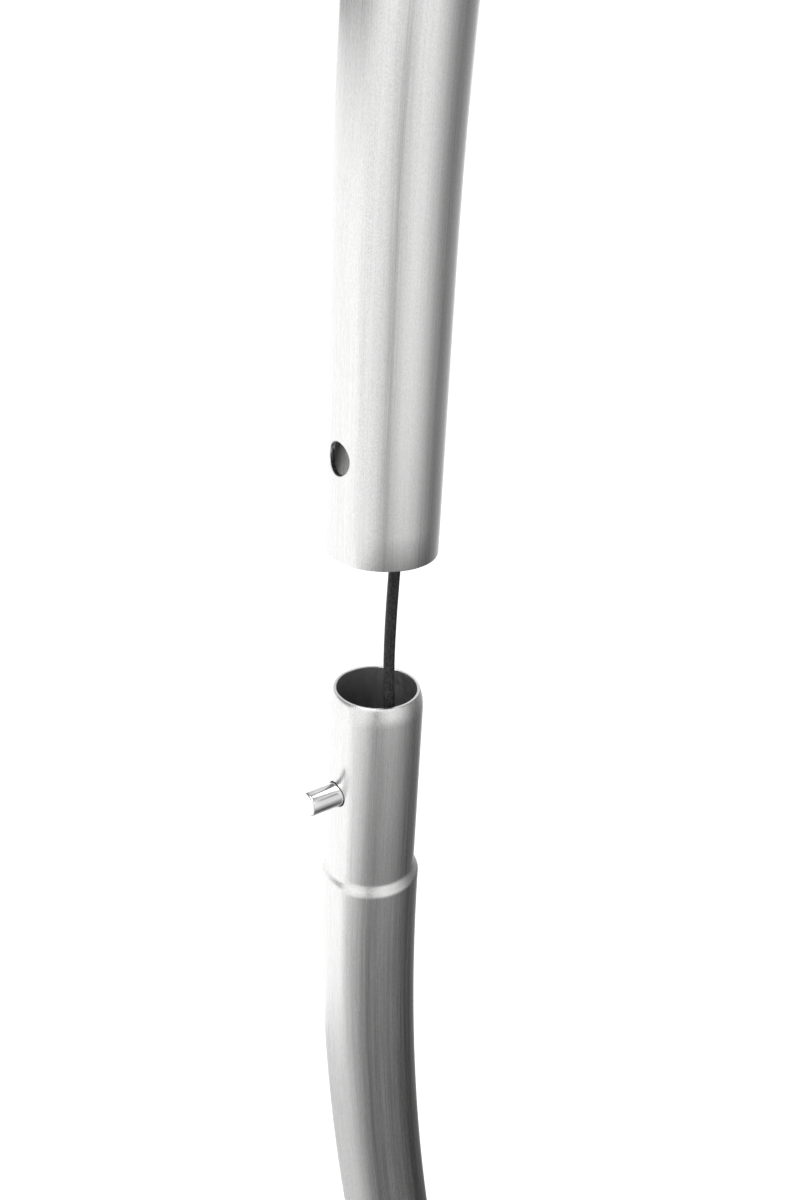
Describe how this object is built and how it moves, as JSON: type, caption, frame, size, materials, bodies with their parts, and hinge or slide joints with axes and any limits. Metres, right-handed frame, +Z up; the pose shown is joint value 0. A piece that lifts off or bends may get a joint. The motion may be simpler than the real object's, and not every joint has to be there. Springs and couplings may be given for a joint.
{
  "type": "arc floor lamp",
  "caption": "Arc floor lamp: weighted round base, curved push-together tube pole with a snap-pin joint pulled open to show the flex, spun dome shade on a tilting swivel.",
  "frame": {"origin": "centre of the base's underside, on the floor", "axes": "+Z up; +X from the pole towards the shade, so the arc lies in the XZ plane; +Y across the arc"},
  "size_m": [1.4141, 0.35, 1.8131],
  "materials": {
    "pole_metal": "satin, brushed along the tube",
    "base_metal": "satin, brushed round",
    "shade_metal": "spun and brushed outside, white inside",
    "fitting_metal": "satin",
    "pin_chrome": "polished",
    "spring_steel": "plain",
    "screw_steel": "plain",
    "weight_iron": "as cast, painted",
    "pad_rubber": "matte",
    "flex_sheath": "matte, finely textured",
    "black_plastic": "fine texture",
    "contact_brass": "plain",
    "holder_ceramic": "unglazed",
    "bulb_glass": "clear",
    "cap_metal": "plain",
    "filament": "coated"
  },
  "bodies": {
    "stand": {"floor_pad": "pad_rubber", "base_weight": "weight_iron", "base_cover": "base_metal", "base_screws": "screw_steel", "pole_socket": "fitting_metal", "socket_grub_screws": "screw_steel", "cord_clamp": "screw_steel", "clamp_screws": "screw_steel", "cord_grommet": "black_plastic", "lower_pole": "pole_metal", "lower_snap_spring": "spring_steel", "lower_flex": "flex_sheath", "lead_to_switch": "flex_sheath", "switch_base": "black_plastic", "switch_cover": "black_plastic", "switch_contacts": "black_plastic", "switch_spring": "spring_steel", "switch_screws": "screw_steel", "switch_reliefs": "black_plastic", "lead_from_switch": "flex_sheath", "lead_coil": "flex_sheath", "coil_tie": "black_plastic", "lead_to_plug": "flex_sheath", "plug_body": "black_plastic", "plug_pins": "contact_brass"},
    "lower_pin": {"lower_snap_pin": "pin_chrome"},
    "middle": {"middle_pole": "pole_metal", "upper_snap_spring": "spring_steel", "gap_flex": "flex_sheath", "middle_flex": "flex_sheath"},
    "upper_pin": {"upper_snap_pin": "pin_chrome"},
    "arm": {"arm_tube": "pole_metal", "joint_flex": "flex_sheath", "arm_flex": "flex_sheath", "arm_end_plug": "fitting_metal", "arm_nipple": "screw_steel", "swivel_arm_half": "fitting_metal", "swivel_washer": "screw_steel", "swivel_bolt": "screw_steel", "swivel_knob": "fitting_metal"},
    "head": {"swivel_head_half": "fitting_metal", "head_nipple": "screw_steel", "head_flex": "flex_sheath", "shade_washer": "fitting_metal", "shade": "shade_metal", "shade_cup": "shade_metal", "lock_washer": "screw_steel", "nipple_nut": "screw_steel", "lampholder_cap": "fitting_metal", "lampholder_shell": "fitting_metal", "lampholder_core": "holder_ceramic", "screw_shell": "contact_brass", "centre_contact": "contact_brass", "bulb_cap": "cap_metal", "bulb_contact": "contact_brass", "bulb_glass": "bulb_glass", "bulb_stem": "filament"},
    "foot_button": {"switch_button": "black_plastic"}
  },
  "joints": [
    {"name": "pole_slide", "type": "slide", "parent": "stand", "child": "middle", "axis": [0, 0, 1], "range_m": [-0.0865, 0.06], "deforming": ["lower_snap_spring", "lower_snap_pin", "gap_flex"]},
    {"name": "lower_pin_press", "type": "slide", "parent": "stand", "child": "lower_pin", "axis": [0.7071, 0.7071, 0], "range_m": [0, 0.0082], "stiffness_N_per_m": 1500, "deforming": ["lower_snap_spring"]},
    {"name": "arm_slide", "type": "slide", "parent": "middle", "child": "arm", "axis": [0.6157, 0, 0.788], "range_m": [0, 0.06], "deforming": ["upper_snap_spring", "upper_snap_pin", "joint_flex"]},
    {"name": "upper_pin_press", "type": "slide", "parent": "middle", "child": "upper_pin", "axis": [0.5572, 0.7071, -0.4353], "range_m": [0, 0.0082], "stiffness_N_per_m": 1500, "deforming": ["upper_snap_spring"]},
    {"name": "shade_tilt", "type": "hinge", "parent": "arm", "child": "head", "pos_m": [1.03082, 0, 1.7795], "axis": [0, 1, 0], "range_deg": [-60, 30]},
    {"name": "foot_switch_press", "type": "slide", "parent": "stand", "child": "foot_button", "axis": [0, 0, -1], "range_m": [0, 0.003], "stiffness_N_per_m": 2000, "deforming": ["switch_spring"]}
  ]
}
